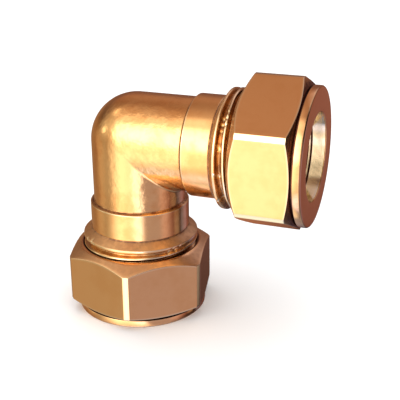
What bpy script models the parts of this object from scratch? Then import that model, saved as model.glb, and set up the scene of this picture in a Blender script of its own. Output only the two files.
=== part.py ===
"""Equal elbow compression fitting for 15 mm copper tube.

A forged brass elbow body with a male G 1/2 thread on each end, two hexagon compression nuts and the
two soft brass olives (compression rings) that sit between them. Metres, +Z up. The fitting stands on
the end face of its lower nut, and the origin is the middle of the footprint of its bounding box.

Each end is called a port and is described along its own axis: s is the distance outwards from the
point where the two bore axes cross, and r is the radius. The lower port points along -Z and the side
port along +X.
"""
import math

import bmesh
import bpy
from mathutils import Matrix, Vector

MM = 0.001

# ---- driving dimensions, in millimetres -------------------------------------------------------
TUBE_D = 15.0              # outside diameter of the copper tube that the fitting joins
TUBE_CLEAR = 0.05          # radial clearance of the tube in the nut, olive and socket

ARM_R = 8.3                # forged arm and the ball of the outer corner
COLLAR_R = 8.95            # turned collar around the tube socket
COLLAR_START = 11.4
COLLAR_END = 16.2
WATERWAY_R = 6.6
TUBE_STOP = 12.3           # shoulder that the end of the tube meets

THREAD_MAJOR_R = 20.955 / 2    # G 1/2 male thread
THREAD_PITCH = 25.4 / 14
THREAD_ROOT_R = 9.25
THREAD_CREST_W = 0.36
THREAD_BASE_W = 1.48
THREAD_SINK = 0.25         # how far the base of the ridge is sunk into the root
SHOULDER = 17.6            # the flare behind the thread ends here in a narrow land ...
SHOULDER_W = 0.3
ROOT_START = 18.25         # ... and the thread's root begins here
THREAD_DATUM = 18.5        # where the first crest starts
MOUTH = 25.35              # end face of the body

NUT_FLATS = 24.0           # width across flats
NUT_EDGE_BEVEL = 0.45      # width taken off each long edge of the hexagon, along the flat
NUT_START = 19.4           # open end of a hand-tight nut
NUT_FACE_R = 10.9          # mouth of the nut, where the cone over the hexagon's corners begins
NUT_CORNER_START = 21.1    # a hexagon corner has its full radius from here ...
NUT_CORNER_END = 29.3      # ... to here
NUT_BOSS_R = 11.88
NUT_GROOVE = (30.05, 30.3)     # narrow groove between the hexagon and the boss
NUT_RIM_R = 11.4           # bottom of that groove, and edge of the end face
NUT_RIM_CHAMFER = 0.25
NUT_END = 31.7
NUT_BORE_DEPTH = 2.4
NUT_BORE_FLARE = 0.3       # chamfer between the tube bore and the cone that presses on the olive
NUT_CONE = (26.9, 9.2)     # s and r where that cone begins
NUT_MINOR_R = 9.55         # top of the female thread
NUT_THREAD_CLEAR = 0.2     # radial and flank clearance between the male and female threads
NUT_RELIEF_R = 10.75       # recess behind the last turn of the female thread
NUT_MOUTH_R = 10.65        # chamfered mouth of the female thread

OLIVE_START = 22.75
OLIVE_END = 28.45
OLIVE_RIDGE = (24.95, 26.25)
OLIVE_RIDGE_R = 8.45
OLIVE_ROUND_R = 0.08       # how much lower, and how far along, the ridge's rounded edges begin
OLIVE_ROUND_S = 0.2
OLIVE_TIP_R = 7.85
OLIVE_GAP = 0.3            # between the olive and the seats that squeeze it

# The lower nut is hand-tight. The side nut is a little looser, and its olive is out by the same.
LOOSENED_TURNS = {"lower": 0.0, "side": 0.3}
# How far each hexagon is turned about its port axis from having a corner on the port's own Y.
HEXAGON_TURN = {"lower": math.radians(48.5), "side": math.radians(-26.8)}

SEGMENTS = 32              # flats around every round surface and every turn of thread
# Angle about each port axis, from its own X, at which the thread starts; a whole number of segments.
THREAD_ANGLE = {"lower": -3 * math.tau / SEGMENTS, "side": 11 * math.tau / SEGMENTS}

# ---- sizes that follow --------------------------------------------------------------------------
BORE_R = TUBE_D / 2 + TUBE_CLEAR
NUT_CORNER_R = NUT_FLATS / 2 / math.cos(math.pi / 6)     # of the hexagon before its edges are bevelled
NUT_FLAT_HALF = NUT_CORNER_R / 2 - NUT_EDGE_BEVEL        # half the width of a flat
NUT_EDGE_R = math.hypot(NUT_FLATS / 2, NUT_FLAT_HALF)    # the line where a flat meets a bevel


def hexagon_reach(turn):
    """How far along X a bevelled hexagon reaches when it is turned about its axis."""
    spread = math.pi / 6 - math.atan2(NUT_FLAT_HALF, NUT_FLATS / 2)
    edges = [turn + k * math.pi / 3 + side * spread for k in range(6) for side in (-1, 1)]
    return max(NUT_EDGE_R * abs(math.sin(edge)) for edge in edges)


SIDE_END = NUT_END + LOOSENED_TURNS["side"] * THREAD_PITCH
AXES_CROSS = Vector((-(SIDE_END - hexagon_reach(HEXAGON_TURN["lower"])) / 2 * MM, 0.0, NUT_END * MM))

PART = "compression_elbow"
CUTTERS = "cutters"
MERGE = 1e-6
WELD_DISTANCE = 4e-6


def clear_scene():
    for obj in list(bpy.data.objects):
        bpy.data.objects.remove(obj, do_unlink=True)


def new_collection(name):
    collection = bpy.data.collections.new(name)
    bpy.context.scene.collection.children.link(collection)
    return collection


def metal(name, colour, roughness):
    """A Principled material of one metal."""
    material = bpy.data.materials.new(name)
    material.use_nodes = True
    shader = material.node_tree.nodes["Principled BSDF"]
    shader.inputs["Base Color"].default_value = (*colour, 1.0)
    shader.inputs["Metallic"].default_value = 1.0
    shader.inputs["Roughness"].default_value = roughness
    return material


def port_matrix(name, out=0.0):
    """Places a shape drawn with +Z outwards and its own zero at the crossing of the bore axes.

    out moves it outwards along the port's axis.
    """
    turns = {
        "lower": Matrix.Rotation(math.pi, 4, "X"),
        "side": Matrix.Rotation(math.pi / 2, 4, "Y"),
    }
    return Matrix.Translation(AXES_CROSS) @ turns[name] @ Matrix.Translation((0.0, 0.0, out * MM))


def loosened(port):
    """How far the nut and the olive of a port are out from their hand-tight place."""
    return LOOSENED_TURNS[port] * THREAD_PITCH


def add_object(name, mesh, collection, material=None):
    obj = bpy.data.objects.new(name, mesh)
    collection.objects.link(obj)
    if material:
        mesh.materials.append(material)
    return obj


def profile_mesh(name, points, closed):
    """A chain of edges in the XZ plane from (r, s) pairs in millimetres."""
    mesh = bpy.data.meshes.new(name)
    count = len(points)
    edges = [(i, (i + 1) % count) for i in range(count if closed else count - 1)]
    mesh.from_pydata([(r * MM, 0.0, s * MM) for r, s in points], edges, [])
    return mesh


def turned(name, points, closed, collection, material=None):
    """A round shape: its profile swept about Z by a Screw modifier."""
    obj = add_object(name, profile_mesh(name, points, closed), collection, material)
    screw = obj.modifiers.new("turn", "SCREW")
    screw.axis = "Z"
    screw.angle = math.tau
    screw.steps = SEGMENTS
    screw.render_steps = SEGMENTS
    screw.use_merge_vertices = True
    screw.merge_threshold = MERGE
    screw.use_smooth_shade = True
    return obj


def arc(centre_s, radius, start, end, steps):
    """Points (r, s) on a circle about the axis; the angle is measured from the plane of s = 0."""
    for i in range(steps + 1):
        angle = start + (end - start) * i / steps
        yield (radius * math.cos(angle), centre_s + radius * math.sin(angle))


def freeze(obj, collection):
    """Replaces an object by the mesh that its modifiers make, so that its ends can be closed."""
    graph = bpy.context.evaluated_depsgraph_get()
    mesh = bpy.data.meshes.new_from_object(obj.evaluated_get(graph))
    frozen = add_object(obj.name + "_solid", mesh, collection)
    frozen.matrix_world = obj.matrix_world.copy()
    bpy.data.objects.remove(obj, do_unlink=True)
    return frozen


def helix(name, inner_r, outer_r, base_w, crest_w, start, end, collection):
    """A right-hand helical ridge of trapezoid section about Z, closed at both ends.

    The middle of the section is at s = start on +X, and it climbs one pitch a turn up to s = end.
    """
    turns = round((end - start) / THREAD_PITCH * SEGMENTS) / SEGMENTS
    section = [
        (outer_r, start + crest_w / 2),
        (outer_r, start - crest_w / 2),
        (inner_r, start - base_w / 2),
        (inner_r, start + base_w / 2),
    ]
    obj = add_object(name, profile_mesh(name, section, True), collection)
    screw = obj.modifiers.new("coil", "SCREW")
    screw.axis = "Z"
    screw.angle = math.tau * turns
    screw.screw_offset = THREAD_PITCH * turns * MM
    screw.steps = round(SEGMENTS * turns)
    screw.render_steps = screw.steps
    screw.use_merge_vertices = False
    frozen = freeze(obj, collection)
    shape = bmesh.new()
    shape.from_mesh(frozen.data)
    bmesh.ops.holes_fill(shape, edges=[e for e in shape.edges if e.is_boundary], sides=8)
    bmesh.ops.recalc_face_normals(shape, faces=shape.faces)
    shape.to_mesh(frozen.data)
    shape.free()
    return frozen


def as_cutter(obj):
    obj.hide_render = True
    obj.display_type = "WIRE"
    return obj


def boolean(obj, other, operation):
    modifier = obj.modifiers.new(other.name, "BOOLEAN")
    modifier.operation = operation
    modifier.solver = "EXACT"
    modifier.object = other


def weld(obj):
    """Merges the doubled points that a Boolean leaves where two round surfaces share a facet line."""
    modifier = obj.modifiers.new("weld", "WELD")
    modifier.merge_threshold = WELD_DISTANCE


# ---- elbow body ---------------------------------------------------------------------------------
def body_profile():
    """One arm, from the ball of the corner out to the mouth and back along the inside."""
    quarter = math.pi / 2
    outside = list(arc(0.0, ARM_R, -quarter, 0.0, 7))
    outside += [
        (ARM_R, COLLAR_START - 0.3),
        (COLLAR_R, COLLAR_START),
        (COLLAR_R, COLLAR_END),
        (THREAD_MAJOR_R, SHOULDER - SHOULDER_W / 2),
        (THREAD_MAJOR_R, SHOULDER + SHOULDER_W / 2),
        (THREAD_ROOT_R, ROOT_START),
        (THREAD_ROOT_R, MOUTH),
    ]
    inside = [
        (OLIVE_RIDGE_R + OLIVE_GAP, MOUTH),
        (OLIVE_TIP_R + OLIVE_GAP, OLIVE_START - OLIVE_GAP),
        (BORE_R, OLIVE_START - OLIVE_GAP),
        (BORE_R, TUBE_STOP),
        (WATERWAY_R, TUBE_STOP),
    ]
    inside += list(arc(0.0, WATERWAY_R, 0.0, -quarter, 5))
    # The port axis points down, so a profile that starts at the ball runs from top to bottom.
    return [(max(r, 0.0), -s) for r, s in outside + inside]


def make_body(collection, cutters, material):
    """The elbow: one turned arm, mirrored in the mitre plane, with a thread joined to each end."""
    body = turned("elbow_body", body_profile(), False, collection, material)
    body.location = AXES_CROSS

    mitre = bpy.data.objects.new("mitre_plane", None)
    cutters.objects.link(mitre)
    mitre.location = AXES_CROSS
    mitre.rotation_euler = (0.0, math.radians(-45.0), 0.0)
    mirror = body.modifiers.new("mitre", "MIRROR")
    mirror.mirror_object = mitre
    mirror.use_axis[0] = True
    mirror.use_bisect_axis[0] = True
    mirror.use_bisect_flip_axis[0] = True
    mirror.use_mirror_merge = True
    mirror.merge_threshold = MERGE
    mirror.bisect_threshold = MERGE

    for port in LOOSENED_TURNS:
        ridge = helix(port + "_thread", THREAD_ROOT_R - THREAD_SINK, THREAD_MAJOR_R, THREAD_BASE_W,
                      THREAD_CREST_W, THREAD_DATUM, MOUTH - THREAD_BASE_W / 2 - 0.1, cutters)
        ridge.matrix_world = port_matrix(port) @ Matrix.Rotation(THREAD_ANGLE[port], 4, "Z")
        boolean(body, as_cutter(ridge), "UNION")
    weld(body)


# ---- compression nuts ---------------------------------------------------------------------------
def nut_profile():
    """The turned surfaces of a nut, outside and inside, before the hexagon is cut."""
    blank_r = NUT_CORNER_R + 0.4
    groove_in, groove_out = NUT_GROOVE
    # Both end cones pass through the ends of the hexagon's corners and run on to the blank's side.
    start_rise = (NUT_CORNER_START - NUT_START) / (NUT_EDGE_R - NUT_FACE_R)
    end_rise = (groove_in - NUT_CORNER_END) / (NUT_EDGE_R - NUT_BOSS_R)
    outside = [
        (NUT_RIM_R, NUT_END),
        (NUT_BOSS_R, NUT_END - NUT_RIM_CHAMFER),
        (NUT_BOSS_R, groove_out + 0.2),
        (NUT_RIM_R, groove_out),
        (NUT_RIM_R, groove_in + 0.05),
        (NUT_BOSS_R, groove_in),
        (blank_r, NUT_CORNER_END - (blank_r - NUT_EDGE_R) * end_rise),
        (blank_r, NUT_CORNER_START + (blank_r - NUT_EDGE_R) * start_rise),
        (NUT_FACE_R, NUT_START),
    ]
    cone_s, cone_r = NUT_CONE
    bore_end = NUT_END - NUT_BORE_DEPTH
    inside = [
        (NUT_MOUTH_R, NUT_START),
        (NUT_MINOR_R, NUT_START + 1.0),
        (NUT_MINOR_R, cone_s - 2.0),
        (NUT_RELIEF_R, cone_s - 1.4),
        (NUT_RELIEF_R, cone_s - 0.3),
        (cone_r, cone_s),
        (BORE_R + NUT_BORE_FLARE, bore_end - NUT_BORE_FLARE),
        (BORE_R, bore_end),
        (BORE_R, NUT_END),
    ]
    return outside + inside


def hexagon(name, height, collection):
    """A hexagonal prism about Z with its six long edges bevelled."""
    mesh = bpy.data.meshes.new(name)
    shape = bmesh.new()
    bmesh.ops.create_cone(shape, cap_ends=True, segments=6, radius1=NUT_CORNER_R * MM,
                          radius2=NUT_CORNER_R * MM, depth=height * MM)
    long_edges = [e for e in shape.edges if abs(e.verts[0].co.z - e.verts[1].co.z) > height * MM / 2]
    bmesh.ops.bevel(shape, geom=long_edges, offset=NUT_EDGE_BEVEL * MM, segments=1, affect="EDGES")
    shape.to_mesh(mesh)
    shape.free()
    return add_object(name, mesh, collection)


def make_nut(port, collection, cutters, material):
    """A hexagon nut: turned blank, hexagon, and a female thread that clears the body's thread."""
    nut = turned(port + "_nut", nut_profile(), True, collection, material)
    nut.matrix_world = port_matrix(port, loosened(port))

    prism = hexagon(port + "_hexagon", NUT_END - NUT_START + 4.0, cutters)
    middle = Matrix.Translation((0.0, 0.0, (NUT_END + NUT_START) / 2 * MM))
    turn = Matrix.Rotation(HEXAGON_TURN[port], 4, "Z")
    prism.matrix_world = port_matrix(port, loosened(port)) @ middle @ turn
    boolean(nut, as_cutter(prism), "INTERSECT")

    # The groove is the body's ridge made larger all round, and runs out of the open end and into
    # the relief behind the last turn.
    inner_r = THREAD_ROOT_R - THREAD_SINK
    slope = (THREAD_BASE_W - THREAD_CREST_W) / 2 / (THREAD_MAJOR_R - inner_r)
    widen = 2 * NUT_THREAD_CLEAR * math.hypot(1.0, slope)
    groove_in = NUT_MINOR_R - 0.2
    width_in = THREAD_BASE_W + widen - 2 * slope * (groove_in - inner_r)
    width_out = THREAD_CREST_W + widen - 2 * slope * NUT_THREAD_CLEAR
    open_end = NUT_START + loosened(port) - THREAD_PITCH / 2
    first = THREAD_DATUM - THREAD_PITCH * math.ceil((THREAD_DATUM - open_end) / THREAD_PITCH)
    groove = helix(port + "_groove", groove_in, THREAD_MAJOR_R + NUT_THREAD_CLEAR, width_in, width_out,
                   first, NUT_CONE[0] + loosened(port) - 1.0, cutters)
    groove.matrix_world = port_matrix(port) @ Matrix.Rotation(THREAD_ANGLE[port], 4, "Z")
    boolean(nut, as_cutter(groove), "DIFFERENCE")
    weld(nut)


# ---- olives -------------------------------------------------------------------------------------
def olive_profile():
    """The barrel-shaped ring: two cones with a short rounded ridge between them."""
    ridge_in, ridge_out = OLIVE_RIDGE
    return [
        (OLIVE_TIP_R, OLIVE_END),
        (OLIVE_RIDGE_R - OLIVE_ROUND_R, ridge_out + OLIVE_ROUND_S),
        (OLIVE_RIDGE_R, ridge_out - OLIVE_ROUND_S),
        (OLIVE_RIDGE_R, ridge_in + OLIVE_ROUND_S),
        (OLIVE_RIDGE_R - OLIVE_ROUND_R, ridge_in - OLIVE_ROUND_S),
        (OLIVE_TIP_R, OLIVE_START),
        (BORE_R, OLIVE_START),
        (BORE_R, OLIVE_END),
    ]


def make_olive(port, collection, material):
    olive = turned(port + "_olive", olive_profile(), True, collection, material)
    olive.matrix_world = port_matrix(port, loosened(port))


def main():
    clear_scene()
    collection = new_collection(PART)
    cutters = new_collection(CUTTERS)
    make_body(collection, cutters, metal("forged_brass", (0.80, 0.52, 0.24), 0.28))
    for port in LOOSENED_TURNS:
        make_nut(port, collection, cutters, metal(port + "_nut_brass", (0.78, 0.50, 0.25), 0.2))
        make_olive(port, collection, metal(port + "_olive_brass", (0.84, 0.60, 0.30), 0.3))


main()
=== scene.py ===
"""Looks of the compression elbow: fine meshes, brass materials, lights and camera around the frame."""
import math

import bpy
import numpy as np
from mathutils import Matrix, Vector


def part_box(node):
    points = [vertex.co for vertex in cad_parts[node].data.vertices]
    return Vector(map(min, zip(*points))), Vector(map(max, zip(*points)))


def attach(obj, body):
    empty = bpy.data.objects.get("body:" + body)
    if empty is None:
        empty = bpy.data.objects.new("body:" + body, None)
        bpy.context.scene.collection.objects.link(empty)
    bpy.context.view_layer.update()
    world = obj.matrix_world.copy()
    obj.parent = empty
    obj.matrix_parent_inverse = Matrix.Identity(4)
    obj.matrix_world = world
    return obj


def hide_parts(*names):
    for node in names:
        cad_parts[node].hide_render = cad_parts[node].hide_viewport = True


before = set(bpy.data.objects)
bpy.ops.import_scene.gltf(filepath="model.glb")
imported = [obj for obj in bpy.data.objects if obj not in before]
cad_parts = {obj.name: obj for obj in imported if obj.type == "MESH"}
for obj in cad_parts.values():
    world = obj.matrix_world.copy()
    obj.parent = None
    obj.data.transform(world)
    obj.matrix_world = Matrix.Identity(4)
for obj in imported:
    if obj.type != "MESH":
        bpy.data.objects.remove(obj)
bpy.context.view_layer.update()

MM = 0.001
TAU = math.tau
PORTS = ("lower", "side")

# ---- the frame: where the bore axes cross, and how far out each piece reaches ---------------------
LOWER_RING, SIDE_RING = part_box("lower_olive"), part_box("side_olive")
CROSS = Vector((
    (LOWER_RING[0].x + LOWER_RING[1].x) / 2,
    0.0,
    (SIDE_RING[0].z + SIDE_RING[1].z) / 2,
))


def span(node, port):
    """Where a CAD node starts and ends along a port's axis, in millimetres outwards from the crossing."""
    low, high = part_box(node)
    if port == "lower":
        return (CROSS.z - high.z) / MM, (CROSS.z - low.z) / MM
    return (low.x - CROSS.x) / MM, (high.x - CROSS.x) / MM


NUT_SPAN = {port: span(port + "_nut", port) for port in PORTS}
OLIVE_SPAN = {port: span(port + "_olive", port) for port in PORTS}
MOUTH = span("elbow_body", "side")[1]

# ---- sizes in millimetres along a port: s outwards from the crossing, r from the port's axis -----
ARM_R = 8.3
CREASE_R = 0.7             # fillet in the inner crease of the elbow
COLLAR_R = 8.95
COLLAR_START = 11.4
COLLAR_END = 16.2
WATERWAY_R = 6.6
# How dark the painted shade inside the waterway is, from 0 to 1.
WATERWAY_SHADE = 0.6
TUBE_STOP = 12.3
BORE_R = 7.55
SEAT_START = 22.45         # where the socket opens out into the olive's seat
SKIN_END = COLLAR_START - 1.2

PITCH = 25.4 / 14
THREAD_R = 20.955 / 2
THREAD_ROOT_R = 9.22
SHOULDER = 17.6            # the flare behind the thread ends here
THREAD_DATUM = 18.5        # where a crest crosses the thread's own zero angle
THREAD_ANGLE = {"lower": -3 * TAU / 32, "side": 11 * TAU / 32}
THREAD_RUNOUT = {"lower": 1.1, "side": 0.5}    # over which the thread reaches its full depth
THREAD_ROOT_SHADE_AND_DIRT = {"lower": 0.45, "side": 0.65}    # how dark the painted shade and dirt in its root are, from 0 to 1
THREAD_CREST = 0.36        # width of the body's thread ridge at its crest ...
THREAD_BASE = 1.5          # ... and at its base

# Nicks in the threads: from (angle in degrees, s) to (angle, s), in the port's own angle.
NICKS = {
    "lower": (
        (25, 17.6, 31, 18.5), (34, 17.7, 39, 18.6),
        (115, 18.5, 121, 17.5), (120, 18.6, 125, 17.2), (125, 18.6, 130, 17.5), (129, 18.7, 134, 17.3),
        (134, 18.5, 138, 17.8),
    ),
    "side": (
        (277, 17.7, 283, 18.3), (309, 17.8, 312, 18.4), (250, 17.9, 255, 18.5),
        (218, 18.9, 224, 18.0), (224, 19.1, 230, 18.1), (230, 19.2, 236, 18.3),
    ),
}
NICK_DEPTH = 0.16
NICK_WIDTH = 0.14          # half the width of a nick

FLATS_R = 12.0             # half the width across flats
EDGE_BEVEL = 0.58          # width taken off each long edge, along the flat
EDGE_ROUND = 0.3           # radius left between the bevel and the flat
NUT_FACE_R = 10.9
NUT_RISE = 0.62            # slope of the cone over the corners at the nut's open end ...
NUT_END_RISE = 0.43        # ... and at its outer end
BOSS_R = 11.88
BOSS_LENGTH = 1.65
GROOVE_R = 11.2
BORE_DEPTH = 2.4           # from the nut's outer face to a relief groove behind the tube bore
LAND_DEPTH = 3.1           # ... and to the end of the narrow land behind that groove
RELIEF_DEPTH = 0.4         # of that groove, from the bore outwards
FEED = 0.2                 # pitch and height of the marks the boring tool left in the tube bore
FEED_HEIGHT = 0.045
CONE_DEPTH = 4.8           # from the nut's outer face to where the cone that presses the olive begins
NUT_MINOR_R = 9.53
NUT_ROOT_R = 10.66
NUT_GROOVE_TOP = 0.62      # width of the nut's thread groove at its bottom ...
NUT_GROOVE_BASE = 1.74     # ... and at its mouth, both with room for the body's ridge
HEXAGON_TURN = {"lower": math.radians(48.5), "side": math.radians(-26.8)}
SHARP_ANGLE = math.radians(32)    # a nut's edges above this angle are shaded sharp

OLIVE_RIDGE_R = 8.45
OLIVE_RIDGE = (2.2, 3.5)   # from the olive's inner end
OLIVE_TIP_R = 7.85

# ---- how finely the meshes are divided ------------------------------------------------------------
SKIN_ROWS = 28             # from the mitre plane to the collar
WATERWAY_ROWS = 10
COARSE_STEP = 0.9          # longest step along the body's section ...
EDGE_STEP = 0.15           # ... at the collar's edges
THREAD_STEP = 0.13         # ... and along its thread
NUT_COLUMN_STEP = 0.5      # longest step around the hexagon ...
NUT_COARSE_STEP = 1.0      # ... along a nut's section ...
NUT_SIDE_STEP = 0.25       # ... on its hexagon ...
NUT_THREAD_STEP = 0.11     # ... and in its thread
OLIVE_STEP = 0.3

# Angles of the points around a round surface, closer together where the body is nicked
ANGLES = np.radians(np.concatenate([np.arange(0.0, 216.0, 2.4), np.arange(216.0, 344.4, 1.07),
                                    np.arange(345.6, 360.0, 2.4)]))
COLUMNS = len(ANGLES)


def port_matrix(port):
    """From a port's own frame, with +Z outwards along its axis, to the model's frame."""
    turns = {"lower": Matrix.Rotation(math.pi, 4, "X"), "side": Matrix.Rotation(math.pi / 2, 4, "Y")}
    return Matrix.Translation(CROSS) @ turns[port]


# ---- profiles ------------------------------------------------------------------------------------
def rounded(points, radii, steps=4):
    """A chain of (r, s) points with its inner corners rounded to the given radii."""
    chain = [np.array(points[0], float)]
    for before, corner, after, radius in zip(points, points[1:], points[2:], radii):
        corner = np.array(corner, float)
        back = np.array(before, float) - corner
        ahead = np.array(after, float) - corner
        back_len, ahead_len = np.linalg.norm(back), np.linalg.norm(ahead)
        back, ahead = back / back_len, ahead / ahead_len
        half = math.acos(max(-1.0, min(1.0, float(back @ ahead)))) / 2
        reach = min(radius / math.tan(half), back_len * 0.45, ahead_len * 0.45)
        bisector = back + ahead
        bisector = bisector / np.linalg.norm(bisector)
        centre = corner + bisector * reach / math.cos(half)
        first = corner + back * reach - centre
        last = corner + ahead * reach - centre
        sweep = math.pi - 2 * half
        for i in range(steps + 1):
            a = math.sin((1 - i / steps) * sweep) / math.sin(sweep)
            b = math.sin(i / steps * sweep) / math.sin(sweep)
            chain.append(centre + a * first + b * last)
    chain.append(np.array(points[-1], float))
    return np.array(chain)


def filled(chain, longest, spans=()):
    """The chain with points added so that no step is longer than the given length.

    Each span (low s, high s, step) has a shorter step of its own on the chain's outer side.
    """
    out = [chain[0]]
    for a, b in zip(chain, chain[1:]):
        edges = [0.0, 1.0]
        if abs(b[1] - a[1]) > 1e-6:
            crossings = [(s - a[1]) / (b[1] - a[1]) for low, high, _ in spans for s in (low, high)]
            edges = sorted(edges + [t for t in crossings if 1e-3 < t < 1 - 1e-3])
        for t0, t1 in zip(edges, edges[1:]):
            first, last = a + (b - a) * t0, a + (b - a) * t1
            middle = (first[1] + last[1]) / 2
            step = longest
            for low, high, span_step in spans:
                if low < middle < high and first[0] > BORE_R + 0.1:
                    step = span_step
            count = max(1, math.ceil(np.linalg.norm(last - first) / step - 1e-6))
            out += [first + (last - first) * i / count for i in range(1, count + 1)]
    return np.array(out)


def bell(x, middle, width):
    """A smooth bump that is 1 at the middle."""
    return np.exp(-((x - middle) / width) ** 2)


def smooth_step(x):
    """From 0 to 1 with no corners while x goes from 0 to 1."""
    x = np.clip(x, 0.0, 1.0)
    return x * x * (3 - 2 * x)


def thread_wave(s, angle, port, crest, base):
    """1 on a crest and 0 in the root of the right-hand thread, with straight flanks and soft corners."""
    turn = (angle - THREAD_ANGLE[port]) / TAU
    across = np.abs((((s - THREAD_DATUM) / PITCH - turn + 0.5) % 1.0) - 0.5) * PITCH
    soft = 0.08    # how much of the flank's height each rounded corner takes
    ramp = np.clip((base / 2 - across) / ((base - crest) / 2), -soft, 1 + soft)
    low = np.where(ramp < soft, (ramp + soft) ** 2 / (4 * soft), ramp)
    return np.where(ramp > 1 - soft, 1 - (1 + soft - ramp) ** 2 / (4 * soft), low)


def nick_depth(s, angle, port):
    """How deep the port's nicks are at a place: straight grooves with a rounded section."""
    depth = np.zeros(np.broadcast(s, angle).shape)
    for start_angle, start_s, end_angle, end_s in NICKS[port]:
        start = np.array([math.radians(start_angle) * THREAD_R, start_s])
        step = np.array([math.radians(end_angle - start_angle) * THREAD_R, end_s - start_s])
        across, along = angle * THREAD_R - start[0], s - start[1]
        part = np.clip((across * step[0] + along * step[1]) / (step @ step), 0.0, 1.0)
        distance = np.hypot(across - part * step[0], along - part * step[1])
        depth = np.maximum(depth, NICK_DEPTH * np.exp(-(distance / NICK_WIDTH) ** 2))
    return depth


# ---- meshes --------------------------------------------------------------------------------------
def grid_object(name, grid, finish_and_shading, matrix):
    """A closed mesh from grid[column, row] of points in millimetres; columns and rows both wrap.

    The attribute array [column, row] goes out as the vertex attribute that the materials read: the length
    along the section in millimetres, how much the place is turned (2 for a coarse cut), and how much
    painted shade and dirt it has, or below zero how much painted highlight and wear.
    """
    columns, rows = grid.shape[:2]
    index = np.arange(columns * rows).reshape(columns, rows)
    right = np.roll(index, -1, axis=0)
    up, up_right = np.roll(index, -1, axis=1), np.roll(right, -1, axis=1)
    quads = np.stack([index, right, up_right, up], axis=-1).reshape(-1, 4)
    mesh = bpy.data.meshes.new(name)
    mesh.from_pydata((grid.reshape(-1, 3) * MM).tolist(), [], quads.tolist())
    mesh.transform(matrix)
    attribute = mesh.attributes.new("finish_and_shading", "FLOAT_VECTOR", "POINT")
    attribute.data.foreach_set("vector", finish_and_shading.reshape(-1).astype(np.float32))
    mesh.shade_smooth()
    obj = bpy.data.objects.new(name, mesh)
    bpy.context.scene.collection.objects.link(obj)
    return obj


def path_length(chain):
    """The length along a chain up to each of its points."""
    steps = np.linalg.norm(np.diff(chain, axis=0), axis=1)
    return np.concatenate([[0.0], np.cumsum(steps)])


def around(radius, s, angles):
    """Points (x, y, s) from radius[column, row], s[column, row] and the angle of each column."""
    a = angles[:, None]
    return np.stack([radius * np.cos(a), radius * np.sin(a), s + 0 * radius], axis=-1)


# ---- elbow body ----------------------------------------------------------------------------------
def arm_skin(radius, fillet, end, rows):
    """grid[column, row] of the lower half of an elbow, from the mitre plane down to s = end.

    The port's axis is -Z and the side arm is towards +X. On the inner side the two arms meet in a
    crease that a ball of the fillet's radius has rounded; on the outer side they share a ball.
    """
    # The rows are closer together towards the mitre plane.
    fractions = (np.arange(rows) / (rows - 1)) ** 1.5
    grid = np.zeros((COLUMNS, rows, 3))
    for column, angle in enumerate(ANGLES):
        c, s = math.cos(angle), math.sin(angle)
        inner = c > 1e-9
        if inner:
            out_lower = np.array([c, s, 0.0])
            middle = out_lower + np.array([0.0, s, -c])
            middle /= np.linalg.norm(middle)
            centre = (radius + fillet) * np.array([c, s, -c])
            turn = math.acos(min(1.0, float(middle @ out_lower)))
            start = (radius + fillet) * c
            arc_len = fillet * turn
        else:
            start = 0.0
            turn = math.atan(max(-c, 0.0))
            arc_len = radius * turn
        for row, along in enumerate(fractions * (arc_len + end - start)):
            if along >= arc_len:
                grid[column, row] = (radius * c, radius * s, -(start + along - arc_len))
            elif inner:
                a = math.sin((1 - along / arc_len) * turn) / math.sin(turn)
                b = math.sin(along / arc_len * turn) / math.sin(turn)
                grid[column, row] = centre - fillet * (a * middle + b * out_lower)
            else:
                rise = turn * (1 - along / arc_len)
                level = radius * math.cos(rise)
                grid[column, row] = (level * c, level * s, radius * math.sin(rise))
    return grid


def body_chain():
    """(r, s) from the start of the collar, over the thread and the mouth, and in to the tube stop."""
    points = [
        (ARM_R, SKIN_END),
        (ARM_R, COLLAR_START - 0.35),
        (COLLAR_R, COLLAR_START + 0.02),
        (COLLAR_R, COLLAR_END - 0.05),
        (COLLAR_R - 0.14, COLLAR_END + 0.1),
        (THREAD_R - 0.03, SHOULDER - 0.22),
        (THREAD_R, SHOULDER + 0.2),
        (THREAD_R, MOUTH - 0.9),
        (THREAD_ROOT_R - 0.1, MOUTH),
        (OLIVE_RIDGE_R + 0.3, MOUTH),
        (OLIVE_TIP_R + 0.3, SEAT_START),
        (BORE_R, SEAT_START),
        (BORE_R, TUBE_STOP),
        (WATERWAY_R, TUBE_STOP),
        (WATERWAY_R, TUBE_STOP - 1.0),
    ]
    radii = [0.2, 0.12, 0.1, 0.1, 0.12, 0.15, 0.3, 0.08, 0.08, 0.05, 0.05, 0.1, 0.1]
    spans = (
        (COLLAR_START - 0.6, COLLAR_START + 0.35, EDGE_STEP),
        (COLLAR_END - 0.2, COLLAR_END + 0.3, EDGE_STEP),
        (SHOULDER - 0.5, MOUTH, THREAD_STEP),
    )
    return filled(rounded(points, radii), COARSE_STEP, spans)


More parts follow.
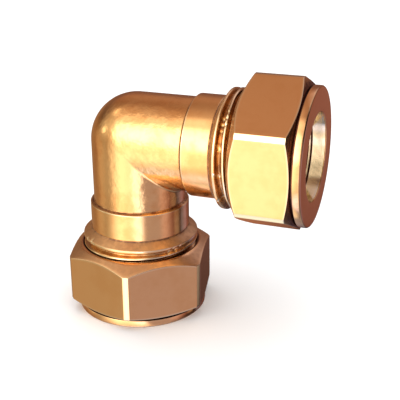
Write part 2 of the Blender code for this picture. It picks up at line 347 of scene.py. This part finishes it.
def body_finish_and_shading(chain, outside, port, ridge, cut, groove, dent):
    """The attribute array [column, row] of the part of an arm that body_chain() describes, with its
    painted shade and highlights.

    outside marks the rows outside the mouth. ridge, cut, groove and dent say where the thread's
    crest is, where the thread is cut, how deep it is, and how deep the nicks are.
    """
    s = chain[:, 1]
    on_flare = (s > COLLAR_END + 0.05) & (s < SHOULDER - 0.1)
    turned = smooth_step((s - COLLAR_START + 0.5) / 0.4) + on_flare
    # The part of the thread under the nut, which gets a painted shadow and no painted highlights.
    under_nut_shade = smooth_step(s - NUT_SPAN[port][0]) * outside

    # Painted shade, partly dirt, in the thread's root, a painted shadow under the nut's open end, painted
    # shade in the collar's two crevices, and the flare a little darker; none in the nicks.
    crevice_shade = (bell(s, COLLAR_END + 0.1, 0.15) + 1.2 * bell(s, COLLAR_START - 0.25, 0.2)) * outside
    shade_and_dirt = smooth_step((groove - 0.03) / 0.3) * THREAD_ROOT_SHADE_AND_DIRT[port]
    shade_and_dirt = np.maximum(shade_and_dirt, under_nut_shade * 0.8) + crevice_shade * 0.8 + on_flare * 0.35
    shade_and_dirt = np.where(dent > 0.3 * NICK_DEPTH, 0.0, shade_and_dirt)

    # Painted highlights, partly wear: pale lines along the shoulder's and the collar's edges and on the
    # thread's crests, and pale nicks, part painted glint and part bare metal; none under the nut.
    wear_and_highlight = 0.9 * bell(s, SHOULDER - 0.1, 0.12) + 0.8 * bell(s, COLLAR_START + 0.05, 0.1)
    wear_and_highlight = wear_and_highlight * outside + 0.7 * ridge * cut * (1.0 - smooth_step(groove / 0.05))
    wear_and_highlight = np.maximum(wear_and_highlight, np.minimum(1.0, 1.5 * dent / NICK_DEPTH))

    finish_and_shading = np.zeros(groove.shape + (3,))
    finish_and_shading[:, :, 0] = path_length(chain)
    finish_and_shading[:, :, 1] = np.where(outside, turned, 1.0)
    finish_and_shading[:, :, 2] = shade_and_dirt - wear_and_highlight * (1.0 - under_nut_shade)
    return finish_and_shading


def half_body(port):
    """grid and finish [column, row] of one arm, outside and inside, open at the mitre plane.

    The arm is drawn as the lower one, so -Z is outwards.
    """
    chain = body_chain()
    r, s = chain[:, 0], chain[:, 1]
    # Seen in the port's own frame the lower port's angle runs the other way round.
    own = -ANGLES if port == "lower" else ANGLES
    outside = np.arange(len(chain)) < np.argmax(s >= MOUTH - 1e-6)
    ridge = thread_wave(s[None, :], own[:, None], port, THREAD_CREST, THREAD_BASE)
    cut = smooth_step((s - SHOULDER - 0.1) / THREAD_RUNOUT[port]) * outside
    groove = (r - np.minimum(r, THREAD_ROOT_R)) * cut * (1 - ridge)
    dent = nick_depth(s[None, :], own[:, None] % TAU, port) * outside
    lathed = around(r - groove - dent, -s, ANGLES)
    skin = arm_skin(ARM_R, CREASE_R, SKIN_END, SKIN_ROWS)
    waterway = arm_skin(WATERWAY_R, 1e-4, TUBE_STOP - 1.0, WATERWAY_ROWS)[:, ::-1]
    grid = np.concatenate([skin[:, :-1], lathed, waterway[:, 1:]], axis=1)

    finish_and_shading = np.zeros(grid.shape)
    first = SKIN_ROWS - 1
    last = first + len(chain)
    finish_and_shading[:, first:last] = body_finish_and_shading(chain, outside, port, ridge, cut, groove, dent)
    # Painted shade all through the waterway.
    finish_and_shading[:, last:, 2] = WATERWAY_SHADE
    return grid, finish_and_shading


def make_body():
    """Both halves joined at the mitre plane; the side half is a lower half reflected in that plane."""
    lower, lower_finish_and_shading = half_body("lower")
    side, side_finish_and_shading = half_body("side")
    side = np.stack([-side[:, :, 2], side[:, :, 1], -side[:, :, 0]], axis=-1)
    grid = np.concatenate([side[:, ::-1], lower[:, 1:]], axis=1)[:, :-1]
    finish_and_shading = np.concatenate([side_finish_and_shading[:, ::-1], lower_finish_and_shading[:, 1:]], axis=1)[:, :-1]
    return grid_object("elbow_casting", grid, finish_and_shading, Matrix.Translation(CROSS))


# ---- nuts ----------------------------------------------------------------------------------------
def hexagon_outline():
    """(angle, radius) around a hexagon with bevelled and softly rounded edges; a corner is at zero."""
    along = FLATS_R * math.tan(math.pi / 6) - EDGE_BEVEL
    corners = []
    for k in range(6):
        turn = Matrix.Rotation(k * math.pi / 3 + math.pi / 6, 2)
        corners += [tuple(turn @ Vector((FLATS_R, side * along))) for side in (-1, 1)]
    ring = corners[-1:] + corners + corners[:1]
    chain = rounded(ring, [EDGE_ROUND] * len(corners))[1:-1]
    points = []
    for a, b in zip(chain, np.roll(chain, -1, axis=0)):
        count = max(1, round(np.linalg.norm(b - a) / NUT_COLUMN_STEP))
        points += [a + (b - a) * i / count for i in range(count)]
    points = np.array(points)
    return np.arctan2(points[:, 1], points[:, 0]), np.hypot(points[:, 0], points[:, 1])


def across_flats(angles, radii):
    """How far each point of the outline is out from the axis, square to its nearest flat."""
    from_middle = angles % (TAU / 6) - TAU / 12
    return radii * np.cos(from_middle)


def nut_section(radius, start, end):
    """(r, s) of one half section of a nut where its side is at the given radius, from face to bore."""
    hex_end = end - BOSS_LENGTH
    points = [
        (NUT_FACE_R, start),
        (radius, start + (radius - NUT_FACE_R) * NUT_RISE),
        (radius, hex_end - (radius - BOSS_R) * NUT_END_RISE),
        (BOSS_R - 0.05, hex_end),
        (GROOVE_R, hex_end + 0.05),
        (GROOVE_R, hex_end + 0.28),
        (BOSS_R, hex_end + 0.36),
        (BOSS_R, end),
        (BORE_R, end),
        (BORE_R, end - BORE_DEPTH),
        (BORE_R + RELIEF_DEPTH, end - BORE_DEPTH - 0.05),
        (BORE_R + RELIEF_DEPTH, end - BORE_DEPTH - 0.28),
        (BORE_R, end - BORE_DEPTH - 0.32),
        (BORE_R, end - LAND_DEPTH),
        (BORE_R + 0.42, end - LAND_DEPTH - 0.14),
        (NUT_ROOT_R + 0.06, end - CONE_DEPTH),
        (NUT_ROOT_R + 0.06, end - CONE_DEPTH - 1.4),
        (NUT_MINOR_R, end - CONE_DEPTH - 2.0),
        (NUT_MINOR_R, start + 1.0),
        (NUT_ROOT_R, start),
        (NUT_FACE_R, start),
    ]
    outer_radii = [0.12, 0.1, 0.05, 0.05, 0.05, 0.1, 0.3]
    bore_radii = [0.14, 0.04, 0.04, 0.04, 0.04, 0.08, 0.08]
    thread_radii = [0.1, 0.1, 0.1, 0.1, 0.1]
    radii = outer_radii + bore_radii + thread_radii
    return rounded(points, radii)[:-1]


def nut_step(a, b, end):
    """The longest step allowed between two neighbouring points of a nut's section."""
    outermost = max(a[0], b[0])
    if outermost < BORE_R + 0.01:
        return FEED / 5
    if outermost < NUT_ROOT_R + 0.1 and b[1] < end - CONE_DEPTH:
        return NUT_THREAD_STEP
    if min(a[0], b[0]) > BOSS_R + 0.5:
        return NUT_SIDE_STEP
    return NUT_COARSE_STEP


def nut_rows(radii, start, end):
    """(r, s) [column, row] of a nut whose side is at each column's radius, before it is threaded."""
    sections = np.array([nut_section(radius, start, end) for radius in radii])
    # Rows are added in the same places in every section, by the longest section's steps.
    widest = sections[np.argmax(radii)]
    rows = []
    for i, (a, b) in enumerate(zip(widest, widest[1:])):
        count = max(1, math.ceil(np.linalg.norm(b - a) / nut_step(a, b, end) - 1e-6))
        for j in range(count):
            rows.append(sections[:, i] + (sections[:, i + 1] - sections[:, i]) * j / count)
    rows.append(sections[:, -1])
    return np.stack(rows, axis=1)


def nut_finish_and_shading(rows, radii, inset, start, end, threaded, bored):
    """The attribute array [column, row] of a nut, with its painted shade and highlights.

    inset is how far each column lies inside the plane of its nearest flat.
    """
    r, s = rows[:, :, 0], rows[:, :, 1]
    side = radii[:, None]
    hex_end = end - BOSS_LENGTH
    side_start = start + (side - NUT_FACE_R) * NUT_RISE
    side_end = hex_end - (side - BOSS_R) * NUT_END_RISE
    on_side = (np.abs(r - side) < 0.02) & (s > start + 0.5) & (s < hex_end)
    on_cone = (r > NUT_FACE_R + 0.1) & (s < start + (r - NUT_FACE_R) * NUT_RISE + 0.05)
    on_boss = (r > BOSS_R - 0.2) & (s > hex_end + 0.36)

    # Painted shade, partly dirt: in the groove behind the hexagon, the relief groove, the nut's thread
    # and its lead-in, behind the tube bore, and a little on the cone and on the boss.
    in_groove = smooth_step((s - hex_end + 0.6) / 0.5) * (s < hex_end + 0.34)
    in_groove *= (r > GROOVE_R - 0.1) & (r < side - 0.05)
    in_relief = (r > BORE_R + 0.05) & (r < BORE_R + RELIEF_DEPTH + 0.05)
    in_relief &= np.abs(s - end + BORE_DEPTH + 0.15) < 0.2
    lead_in = (r < NUT_FACE_R - 0.02) & (s < start + 1.2)
    behind_bore = (r < BORE_R + 1.0) & (s < end - LAND_DEPTH - 0.1)
    shade_and_dirt = 2.0 * in_groove + 2.0 * in_relief + threaded * 0.7 + lead_in * 2.0
    shade_and_dirt = shade_and_dirt + behind_bore * 0.3 + on_cone * 0.3 + on_boss * 0.3

    # Painted highlights, partly wear, along the hexagon's and the boss's edges; the whole bevel strips
    # get a painted highlight and the tube bore painted light.
    outer = r > BOSS_R - 0.1
    side_edges = bell(s, side_start, 0.15) + bell(s, side_end, 0.15)
    boss_edges = bell(s, end, 0.15) + bell(s, hex_end + 0.4, 0.1)
    wear_and_highlight = 0.6 * side_edges * (s < hex_end) * outer
    wear_and_highlight += 0.5 * boss_edges * (s > hex_end + 0.35) * outer
    on_bevel = np.clip(inset / 0.06, 0.0, 1.0)
    wear_and_highlight = np.maximum(wear_and_highlight, on_bevel[:, None] * on_side) + 0.7 * bored

    finish_and_shading = np.zeros(r.shape + (3,))
    finish_and_shading[:, :, 0] = path_length(rows[0])
    finish_and_shading[:, :, 1] = 1.0 - on_side + on_cone
    finish_and_shading[:, :, 2] = shade_and_dirt - wear_and_highlight
    return finish_and_shading


def make_nut(port):
    """A nut with its hexagon turned as it stands at rest."""
    start, end = NUT_SPAN[port]
    outline, radii = hexagon_outline()
    # The hexagon's first corner is on the port's own Y before the hexagon is turned.
    angles = outline + math.pi / 2 + HEXAGON_TURN[port]
    rows = nut_rows(radii, start, end)
    r, s = rows[:, :, 0], rows[:, :, 1]

    threaded = (r < NUT_ROOT_R + 0.01) & (s < end - CONE_DEPTH - 1.0)
    groove = thread_wave(s, angles[:, None], port, NUT_GROOVE_TOP, NUT_GROOVE_BASE)
    cut = np.where(threaded, np.maximum(NUT_ROOT_R - r, 0.0) * groove, 0.0)
    bored = (r < BORE_R + 1e-3) & (s < end - 0.2)
    tooth = (s - end) / FEED % 1.0
    cut += np.where(bored, FEED_HEIGHT * np.minimum(tooth / 0.8, (1.0 - tooth) / 0.2), 0.0)

    inset = FLATS_R - across_flats(outline, radii)
    finish_and_shading = nut_finish_and_shading(rows, radii, inset, start, end, threaded, bored)
    nut = grid_object(port + "_hex_nut", around(r + cut, s, angles), finish_and_shading, port_matrix(port))
    nut.data.set_sharp_from_angle(angle=SHARP_ANGLE)
    return nut


# ---- olives --------------------------------------------------------------------------------------
def make_olive(port):
    """A compression ring with a low ridge and two tapered ends."""
    start, end = OLIVE_SPAN[port]
    points = [
        (BORE_R, end - 2.0),
        (BORE_R, start),
        (OLIVE_TIP_R, start),
        (OLIVE_RIDGE_R, start + OLIVE_RIDGE[0]),
        (OLIVE_RIDGE_R, start + OLIVE_RIDGE[1]),
        (OLIVE_TIP_R, end),
        (BORE_R, end),
        (BORE_R, end - 2.0),
    ]
    chain = filled(rounded(points, [0.06, 0.08, 0.8, 0.8, 0.08, 0.06]), OLIVE_STEP)[:-1]
    radius = np.repeat(chain[None, :, 0], COLUMNS, axis=0)
    finish_and_shading = np.zeros(radius.shape + (3,))
    finish_and_shading[:, :, 0] = path_length(chain)
    finish_and_shading[:, :, 1] = 1.0
    grid = around(radius, chain[None, :, 1], ANGLES)
    return grid_object(port + "_compression_ring", grid, finish_and_shading, port_matrix(port))


# ---- materials -----------------------------------------------------------------------------------
# Colour of the painted shade in recesses, inside the pieces and under the nuts, mixed with dirt.
SHADE_AND_DIRT_COLOUR = (0.17, 0.065, 0.04, 1.0)
# Pale colour of the painted highlights on edges, crests, nicks, bevels and the tube bore, mixed with
# wear.
HIGHLIGHT_AND_WEAR_COLOUR = (0.93, 0.85, 0.56, 1.0)
COARSE_CUT = (0.80, 0.62, 0.42, 1.0)
TURNED_RING_HEIGHT = 2.5e-6    # metres
DRIFT_SCALE = 170.0            # noise cells per metre: slow changes of tone ...
DENT_SCALE = 600.0             # ... the uneven skin ...
SPECKLE_SCALE = 900.0          # ... and fine speckles
RING_SCALE = 5.0               # noise cells per millimetre along a turned section


class Nodes:
    """Builds one node tree.

    add() makes a node and joins or sets its inputs. An input is named by its own name with _ for a
    space, or by its number as i0, i1 and so on.
    """

    def __init__(self, tree):
        self.tree = tree

    def add(self, kind, settings=None, **inputs):
        node = self.tree.nodes.new("ShaderNode" + kind)
        for name, value in (settings or {}).items():
            setattr(node, name, value)
        for name, value in inputs.items():
            key = int(name[1:]) if name[1:].isdigit() else name.replace("_", " ")
            self.join(node.inputs[key], value)
        return node

    def join(self, socket, value):
        """Links the socket to another one, or sets it to a plain value."""
        if isinstance(value, bpy.types.NodeSocket):
            self.tree.links.new(value, socket)
        else:
            socket.default_value = value

    def math(self, operation, *values):
        """A Math node of the given values; each may be a number or a socket."""
        inputs = {"i%d" % i: value for i, value in enumerate(values)}
        return self.add("Math", {"operation": operation}, **inputs).outputs[0]

    def ramp(self, value, low, high, out_low=0.0, out_high=1.0):
        """Moves a value smoothly from one output to the other while it goes from low to high."""
        node = self.add("MapRange", {"interpolation_type": "SMOOTHSTEP"}, Value=value,
                        From_Min=low, From_Max=high, To_Min=out_low, To_Max=out_high)
        return node.outputs[0]

    def positive(self, value):
        """The value where it is above zero, and zero elsewhere."""
        return self.math("MAXIMUM", 0.0, value)

    def blend(self, factor, colour_a, colour_b):
        """The first colour where the factor is 0, and the second where it is 1."""
        node = self.add("MixRGB", Fac=factor, Color1=colour_a, Color2=colour_b)
        return node.outputs[0]

    def noise(self, vector, scale, detail=2.0, roughness=0.5):
        """Cloudy noise around 0.5, with the given number of cells to a unit of the vector."""
        node = self.add("TexNoise", Vector=vector, Scale=scale, Detail=detail, Roughness=roughness)
        return node.outputs["Fac"]


def brass(name, tone, dull_tone, roughness, mottle, forged):
    """A brass with mottled colour and finish, darkened by painted shade and dirt in its recesses, paled
    by painted highlights and wear, and ringed where it is turned.

    tone and dull_tone are the two colours it drifts between, mottle the height of the uneven skin in
    metres, and forged how much of that skin is left on the surfaces that are not turned.
    """
    material = bpy.data.materials.new(name)
    material.use_nodes = True
    nodes = Nodes(material.node_tree)
    shader = material.node_tree.nodes["Principled BSDF"]
    shader.inputs["Metallic"].default_value = 1.0

    place = nodes.add("TexCoord").outputs["Object"]
    finish_and_shading = nodes.add("Attribute", {"attribute_name": "finish_and_shading"}).outputs["Vector"]
    length, turned, shading_dirt_and_wear = nodes.add("SeparateXYZ", Vector=finish_and_shading).outputs
    untouched = nodes.positive(nodes.math("SUBTRACT", 1.0, turned))
    coarse = nodes.positive(nodes.math("SUBTRACT", turned, 1.0))

    drift = nodes.noise(place, DRIFT_SCALE, 3.0, 0.55)
    speckle = nodes.noise(place, SPECKLE_SCALE, 4.0, 0.6)
    tarnish = nodes.math("ADD", drift, nodes.math("MULTIPLY", speckle, 0.35))
    # The attribute's third part: painted shade with dirt above zero, broken up by speckles, and painted
    # highlights with wear below zero.
    patchy = nodes.math("MULTIPLY", shading_dirt_and_wear, nodes.ramp(speckle, 0.4, 0.6, 0.5, 1.0))
    shade_and_dirt = nodes.positive(nodes.math("MINIMUM", 1.0, patchy))
    highlight_and_wear = nodes.positive(nodes.math("MULTIPLY", shading_dirt_and_wear, -1.0))
    colour = nodes.blend(nodes.ramp(tarnish, 0.55, 0.85), (*tone, 1.0), (*dull_tone, 1.0))
    # Darkened by painted shade and dirt, paled by painted highlights and wear.
    colour = nodes.blend(shade_and_dirt, colour, SHADE_AND_DIRT_COLOUR)
    colour = nodes.blend(highlight_and_wear, colour, HIGHLIGHT_AND_WEAR_COLOUR)
    colour = nodes.blend(nodes.math("MULTIPLY", coarse, 0.2), colour, COARSE_CUT)
    nodes.join(shader.inputs["Base Color"], colour)

    rough = nodes.ramp(speckle, 0.35, 0.7, roughness * 0.85, roughness * 1.2)
    rough = nodes.math("ADD", rough, nodes.math("MULTIPLY", shade_and_dirt, 0.2))
    rough = nodes.math("ADD", rough, nodes.math("MULTIPLY", coarse, 0.22))
    nodes.join(shader.inputs["Roughness"], rough)

    along = nodes.add("CombineXYZ", X=length).outputs[0]
    rings = nodes.noise(along, RING_SCALE, 3.0, 0.7)
    skin = nodes.noise(place, DENT_SCALE)
    dents = nodes.math("ADD", skin, nodes.math("MULTIPLY", speckle, 0.6))
    ring_bump = nodes.add("Bump", Distance=TURNED_RING_HEIGHT, Height=rings, Strength=turned)
    skin_bump = nodes.add("Bump", Distance=mottle, Height=dents,
                          Strength=nodes.math("MULTIPLY", untouched, forged),
                          Normal=ring_bump.outputs[0])
    nodes.join(shader.inputs["Normal"], skin_bump.outputs[0])
    return material


# ---- stage ---------------------------------------------------------------------------------------
CAMERA_AZIMUTH = 20.035        # degrees
CAMERA_ELEVATION = 21.688
CAMERA_ROLL = math.radians(-0.234)
CAMERA_DISTANCE = 148.5 * MM
CAMERA_AIM = CROSS + Vector((11.671, 0.0, -10.328)) * MM
CAMERA_LENS = 75.13


def direction(azimuth, elevation):
    """Unit vector from the object: azimuth 0 is -Y and turns towards +X."""
    a, e = math.radians(azimuth), math.radians(elevation)
    return Vector((math.sin(a) * math.cos(e), -math.cos(a) * math.cos(e), math.sin(e)))


def make_camera():
    """A camera that looks at a point from a direction, with a small roll about its own axis."""
    data = bpy.data.cameras.new("camera")
    camera = bpy.data.objects.new("camera", data)
    bpy.context.scene.collection.objects.link(camera)
    back = direction(CAMERA_AZIMUTH, CAMERA_ELEVATION)
    right = direction(CAMERA_AZIMUTH + 90.0, 0.0)
    level = Matrix((right, back.cross(right), back)).transposed().to_4x4()
    camera.matrix_world = (
        Matrix.Translation(CAMERA_AIM + back * CAMERA_DISTANCE) @ level
        @ Matrix.Rotation(CAMERA_ROLL, 4, "Z"))
    data.lens = CAMERA_LENS
    data.clip_start = 0.005
    data.clip_end = 10.0
    bpy.context.scene.camera = camera


# Soft round lights: azimuth and elevation of the middle, cosine of the angle from it where the
# light begins and where it is full, strength, and tint.
LIGHTS = (
    (19, -22, 0.975, 0.992, 0.3, (0.6, 1.0, 2.6)),
    (-18, 26, 0.87, 0.98, 2.0, (1.02, 0.9, 0.9)),
    (-52, 0, 0.55, 0.95, 0.5, (1.02, 0.86, 0.66)),
    (-62, 40, 0.7, 1.0, 0.36, (1.02, 0.86, 0.68)),
    (-10, 85, 0.75, 1.0, 0.25, (1.02, 0.68, 0.6)),
    (-3, -62, 0.92, 0.985, 0.9, (0.85, 0.95, 1.9)),
    (0, -90, 0.5, 0.95, 0.4, (0.9, 0.95, 1.3)),
    (-130, 60, 0.6, 0.95, 0.26, (1.02, 0.6, 0.42)),
    (-115, -25, 0.65, 0.95, 0.34, (1.02, 0.6, 0.3)),
    (50, -15, 0.6, 0.9, 0.48, (1.02, 0.85, 1.05)),
    (92, -20, 0.92, 0.99, 0.25, (1.02, 0.5, 0.5)),
    (118, -22, 0.985, 0.996, 0.22, (1.5, 1.1, 1.0)),
    (147, -22, 0.965, 0.99, 0.24, (0.95, 0.92, 1.55)),
    (162, -20, 0.94, 0.99, 0.09, (1.3, 0.4, 0.3)),
    (180, 20, 0.5, 0.95, 0.19, (1.02, 0.5, 0.36)),
    (-88, -71, 0.965, 0.995, 0.8, (1.0, 0.97, 0.85)),
    (152, 48, 0.8, 0.97, 0.45, (0.98, 1.0, 1.35)),
    (203, -31, 0.985, 0.997, 0.28, (1.02, 0.3, 0.08)),
    (-74, 13, 0.99, 0.998, 1.3, (1.02, 0.9, 0.75)),
    (-85, 50, 0.99, 0.998, 1.3, (1.02, 0.9, 0.75)),
)

# The tall light is cut out of a full sphere by these fades: azimuth and elevation to measure from,
# cosine of the angle from there at the fade's two ends, and how much light is left at each end.
STRIP_FADES = (
    (84, 0, -0.8, -0.2, 0.0, 1.0),     # in from the far left
    (84, 0, 0.62, 0.4, 0.0, 1.0),      # out towards the right
    (-6, 0, 0.15, 0.4, 0.0, 1.0),      # in front only
    (0, -90, 0.45, 0.85, 1.0, 0.4),    # fainter below
    (0, 90, 0.3, 0.65, 1.0, 0.6),      # fainter above
)
STRIP_STRENGTH = 1.8
STRIP_TINT = (1.02, 0.93, 0.85)

ROOM = (0.038, 0.02, 0.02)
EVEN_LIGHT = (1.1, 1.1, 1.1, 1.0)


def studio_light():
    """A tall soft light in front and to the left, fainter ones all round, and a warm dark room.

    Only the brass mirrors these lights. Everything else is lit by an even white.
    """
    world = bpy.data.worlds.new("studio")
    bpy.context.scene.world = world
    world.use_nodes = True
    nodes = Nodes(world.node_tree)
    towards = nodes.add("TexCoord").outputs["Generated"]

    def facing(azimuth, elevation):
        """Cosine of the angle between the ray and a direction."""
        axis = direction(azimuth, elevation)
        product = nodes.add("VectorMath", {"operation": "DOT_PRODUCT"}, i0=towards, i1=axis)
        return product.outputs["Value"]

    def glow(amount, strength, tint):
        """The tint, scaled by the amount and the strength."""
        scaled = nodes.math("MULTIPLY", amount, strength)
        colour = nodes.add("VectorMath", {"operation": "SCALE"}, i0=tint, Scale=scaled)
        return colour.outputs[0]

    strip = 1.0
    for azimuth, elevation, low, high, out_low, out_high in STRIP_FADES:
        fade = nodes.ramp(facing(azimuth, elevation), low, high, out_low, out_high)
        strip = nodes.math("MULTIPLY", strip, fade)
    lights = [glow(strip, STRIP_STRENGTH, STRIP_TINT)]
    for azimuth, elevation, low, high, strength, tint in LIGHTS:
        lights.append(glow(nodes.ramp(facing(azimuth, elevation), low, high), strength, tint))
    total = ROOM
    for light in lights:
        total = nodes.add("VectorMath", {"operation": "ADD"}, i0=total, i1=light).outputs[0]
    mirrored = nodes.add("LightPath").outputs["Is Glossy Ray"]
    colour = nodes.blend(mirrored, EVEN_LIGHT, total)
    nodes.join(world.node_tree.nodes["Background"].inputs["Color"], colour)


FLOOR_HEIGHT = -0.02 * MM


def make_floor():
    """A pale floor under a broad overhead light. The brass doesn't mirror either of them.

    The floor is just below the end face of the lower nut, so that the two don't share a plane.
    """
    bpy.ops.mesh.primitive_plane_add(size=8.0, location=(0.0, 0.0, FLOOR_HEIGHT))
    floor = bpy.context.object
    floor.name = "floor"
    floor.visible_glossy = False
    material = bpy.data.materials.new("floor")
    material.use_nodes = True
    shader = material.node_tree.nodes["Principled BSDF"]
    shader.inputs["Base Color"].default_value = (0.92, 0.92, 0.92, 1.0)
    shader.inputs["Roughness"].default_value = 1.0
    shader.inputs["Specular IOR Level"].default_value = 0.0
    floor.data.materials.append(material)

    data = bpy.data.lights.new("overhead", "AREA")
    data.size = 1.5
    data.energy = 5.0
    light = bpy.data.objects.new("overhead", data)
    light.location = (0.0, -0.1, 1.0)
    light.visible_glossy = False
    bpy.context.scene.collection.objects.link(light)


def main():
    """Builds the pieces, gives each its brass and its place in the frame, and sets the stage."""
    body_brass = brass("body_brass", tone=(0.86, 0.54, 0.23), dull_tone=(0.79, 0.43, 0.16),
                       roughness=0.18, mottle=7e-5, forged=1.0)
    nut_brass = brass("nut_brass", tone=(0.86, 0.52, 0.23), dull_tone=(0.83, 0.48, 0.2),
                      roughness=0.13, mottle=4e-6, forged=0.3)
    olive_brass = brass("olive_brass", tone=(0.88, 0.6, 0.3), dull_tone=(0.84, 0.54, 0.25),
                        roughness=0.2, mottle=6e-6, forged=1.0)
    pieces = [(make_body(), "elbow", "elbow_body", "body_brass", body_brass)]
    for port in PORTS:
        pieces.append((make_nut(port), port + "_hexagon", port + "_nut", "nut_brass", nut_brass))
        pieces.append((make_olive(port), port + "_ring", port + "_olive", "olive_brass", olive_brass))
    for piece, body, node, slot, material in pieces:
        piece.data.materials.append(material)
        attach(piece, body)
        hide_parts(node)
    make_camera()
    studio_light()
    make_floor()
    bpy.context.scene.view_settings.view_transform = "Standard"


main()
